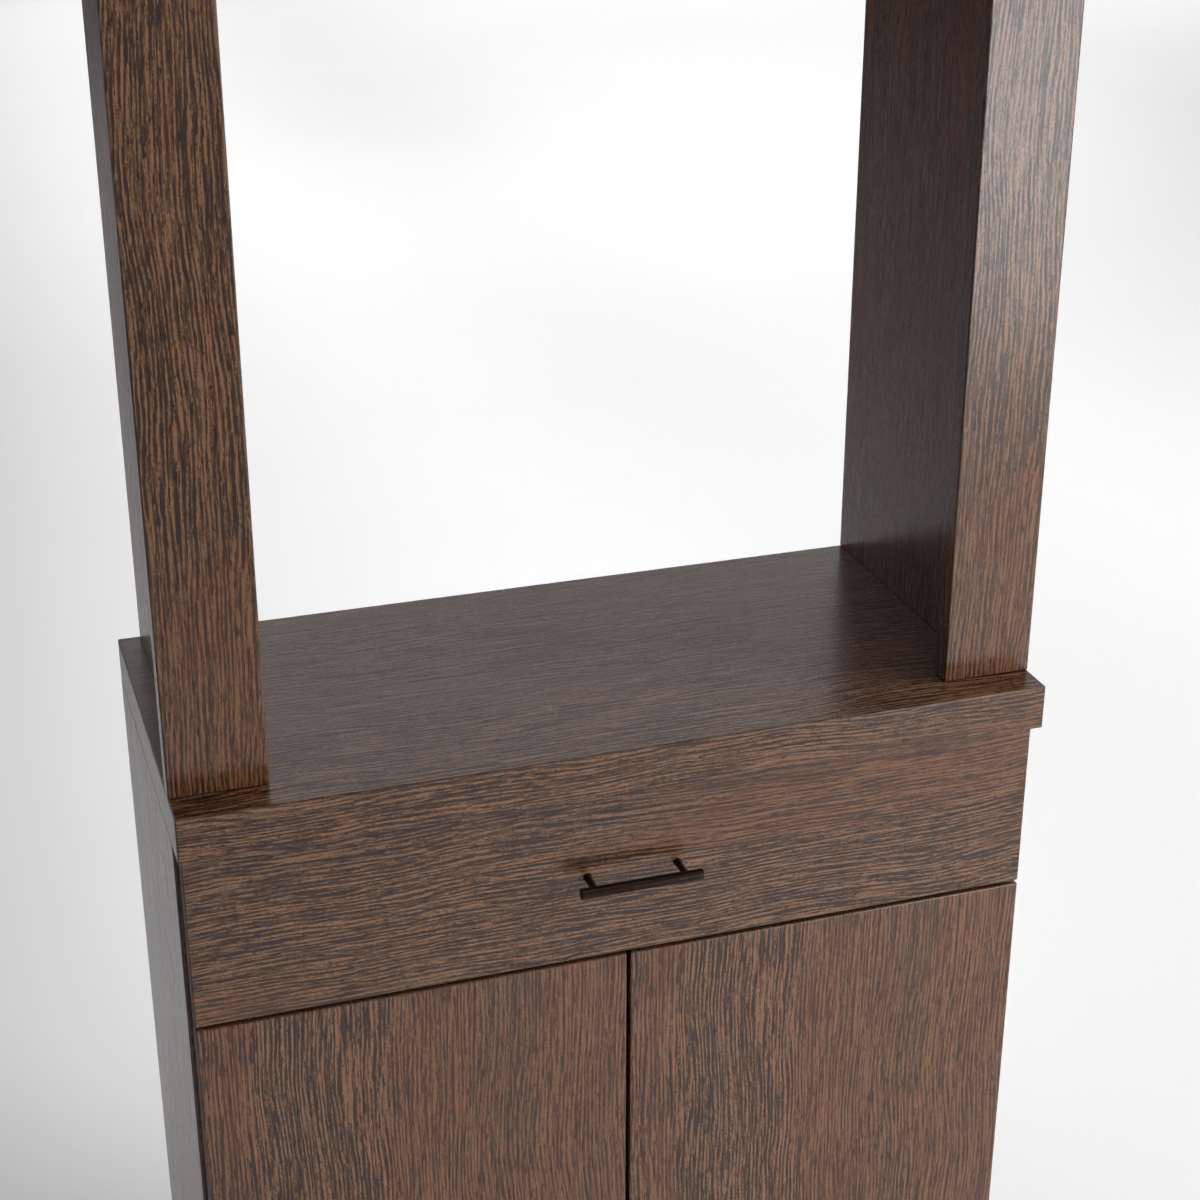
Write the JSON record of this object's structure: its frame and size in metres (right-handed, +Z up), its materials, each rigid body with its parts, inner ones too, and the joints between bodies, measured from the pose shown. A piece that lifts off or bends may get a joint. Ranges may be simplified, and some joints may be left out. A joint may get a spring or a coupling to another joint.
{
  "type": "wine tasting station",
  "caption": "Tall dark veneered station: a base cabinet with a drawer over two doors, a thick counter, and an open framed hutch above for pouring and display.",
  "frame": {"origin": "on the floor, under the middle of the whole station's box", "axes": "+Z up, -Y towards the front with the drawer and doors, +X to the right of someone facing the front"},
  "size_m": [0.7112, 0.3454, 2.1336],
  "materials": {
    "dark_veneer": "dark stained open-grain veneer under a satin-gloss lacquer",
    "plywood": "clear lacquered birch",
    "beech": "bare turned dowel",
    "zinc_steel": "bright zinc plated",
    "nickel_steel": "nickel plated",
    "dark_bronze": "oil-rubbed bronze",
    "black_polymer": "moulded, fine matte",
    "grey_polymer": "moulded, satin"
  },
  "bodies": {
    "cabinet": {"left_side_panel": "dark_veneer", "right_side_panel": "dark_veneer", "cabinet_bottom_panel": "dark_veneer", "cabinet_back_panel": "dark_veneer", "front_top_rail": "dark_veneer", "rear_top_rail": "dark_veneer", "drawer_divider_rail": "dark_veneer", "toe_kick_board": "dark_veneer", "adjustable_shelf": "dark_veneer", "shelf_pin_left_front": "nickel_steel", "shelf_pin_left_rear": "nickel_steel", "shelf_pin_right_front": "nickel_steel", "shelf_pin_right_rear": "nickel_steel", "countertop": "dark_veneer", "upright_dowel_left_front": "beech", "upright_dowel_left_rear": "beech", "upright_dowel_right_front": "beech", "upright_dowel_right_rear": "beech", "left_stile": "dark_veneer", "right_stile": "dark_veneer", "left_upright_panel": "dark_veneer", "right_upright_panel": "dark_veneer", "header_rail": "dark_veneer", "top_panel": "dark_veneer", "rear_header_rail": "dark_veneer", "slide_outer_left": "zinc_steel", "slide_outer_right": "zinc_steel", "hinge_arm_left_upper": "nickel_steel", "hinge_arm_left_lower": "nickel_steel", "hinge_arm_right_upper": "nickel_steel", "hinge_arm_right_lower": "nickel_steel", "latch_housing_left": "black_polymer", "latch_housing_right": "black_polymer"},
    "drawer": {"drawer_front": "dark_veneer", "drawer_box_front": "plywood", "drawer_box_back": "plywood", "drawer_box_left_side": "plywood", "drawer_box_right_side": "plywood", "drawer_bottom": "plywood", "bar_pull": "dark_bronze", "pull_screw_left": "zinc_steel", "pull_screw_right": "zinc_steel", "slide_inner_left": "zinc_steel", "slide_inner_right": "zinc_steel"},
    "slide_middles": {"slide_middle_left": "zinc_steel", "slide_middle_right": "zinc_steel"},
    "left_door": {"left_door": "dark_veneer", "hinge_cup_left_upper": "nickel_steel", "hinge_cup_left_lower": "nickel_steel"},
    "right_door": {"right_door": "dark_veneer", "hinge_cup_right_upper": "nickel_steel", "hinge_cup_right_lower": "nickel_steel"},
    "left_hinge_links": {"hinge_link_left_upper": "nickel_steel", "hinge_link_left_lower": "nickel_steel"},
    "right_hinge_links": {"hinge_link_right_upper": "nickel_steel", "hinge_link_right_lower": "nickel_steel"},
    "left_latch_plunger": {"latch_plunger_left": "grey_polymer"},
    "right_latch_plunger": {"latch_plunger_right": "grey_polymer"}
  },
  "joints": [
    {"name": "drawer_slide", "type": "slide", "parent": "cabinet", "child": "drawer", "axis": [0, -1, 0], "range_m": [0, 0.235]},
    {"name": "slide_middle_travel", "type": "slide", "parent": "cabinet", "child": "slide_middles", "axis": [0, -1, 0], "range_m": [0, 0.1175]},
    {"name": "left_link_hinge", "type": "hinge", "parent": "cabinet", "child": "left_hinge_links", "pos_m": [-0.32805, -0.11772, 0.11747], "axis": [0, 0, -1], "range_deg": [-34, 0]},
    {"name": "left_door_hinge", "type": "hinge", "parent": "left_hinge_links", "child": "left_door", "pos_m": [-0.34555, -0.13212, 0.11747], "axis": [0, 0, -1], "range_deg": [0, 139]},
    {"name": "right_link_hinge", "type": "hinge", "parent": "cabinet", "child": "right_hinge_links", "pos_m": [0.32805, -0.11772, 0.11747], "axis": [0, 0, 1], "range_deg": [-34, 0]},
    {"name": "right_door_hinge", "type": "hinge", "parent": "right_hinge_links", "child": "right_door", "pos_m": [0.34555, -0.13212, 0.11747], "axis": [0, 0, 1], "range_deg": [0, 139]},
    {"name": "left_latch_travel", "type": "slide", "parent": "cabinet", "child": "left_latch_plunger", "axis": [0, -1, 0], "range_m": [0, 0.01]},
    {"name": "right_latch_travel", "type": "slide", "parent": "cabinet", "child": "right_latch_plunger", "axis": [0, -1, 0], "range_m": [0, 0.01]}
  ],
  "couplings": [
    {"joint": "slide_middle_travel", "follows": "drawer_slide", "ratio": 0.5},
    {"joint": "left_link_hinge", "follows": "left_door_hinge", "ratio": -0.2446},
    {"joint": "right_link_hinge", "follows": "right_door_hinge", "ratio": -0.2446},
    {"joint": "left_latch_travel", "follows": "left_door_hinge", "m_per_rad": 0.00412},
    {"joint": "right_latch_travel", "follows": "right_door_hinge", "m_per_rad": 0.00412}
  ]
}
